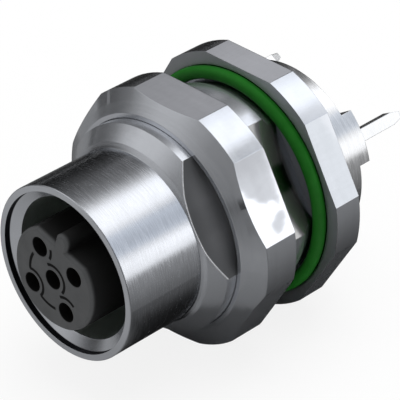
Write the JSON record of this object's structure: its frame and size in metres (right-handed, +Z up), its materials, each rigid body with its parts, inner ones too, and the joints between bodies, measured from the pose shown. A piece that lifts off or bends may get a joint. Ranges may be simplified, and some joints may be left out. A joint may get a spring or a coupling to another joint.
{
  "type": "m12 panel connector",
  "caption": "Rear-mounted M12 panel socket: keyed round insert in a threaded barrel, hexagonal flange and nut, green face seal, shield sleeve with solder prongs and dip-solder tails.",
  "frame": {"origin": "on the socket's axis, in the plane of the flange face that meets the rear of the panel", "axes": "+Y along the axis towards the solder tails (the mating face looks to -Y), +Z up through the middle of a wrench flat, +X to the right"},
  "size_m": [0.0222, 0.032, 0.021],
  "materials": {
    "housing": "nickel-plated brass, turned",
    "hex_nut": "nickel-plated brass, turned",
    "shield_sleeve": "nickel-plated brass",
    "panel_seal": "green seal rubber, satin",
    "carrier_seal": "green seal rubber, satin",
    "carrier": "dark grey moulded plastic",
    "insulator": "black moulded plastic",
    "contact": "gold-plated copper alloy"
  },
  "bodies": {
    "socket": {"housing": "housing", "panel_seal": "panel_seal", "contact_carrier": "carrier", "carrier_seal": "carrier_seal", "rear_insulator": "insulator", "shield_sleeve": "shield_sleeve", "contact_1": "contact", "contact_2": "contact", "contact_3": "contact", "contact_4": "contact", "contact_5": "contact"},
    "nut": {"hex_nut": "hex_nut"}
  },
  "joints": [
    {"name": "nut_travel", "type": "slide", "parent": "socket", "child": "nut", "axis": [0, 1, 0], "range_m": [-0.003, 0.0034]}
  ]
}
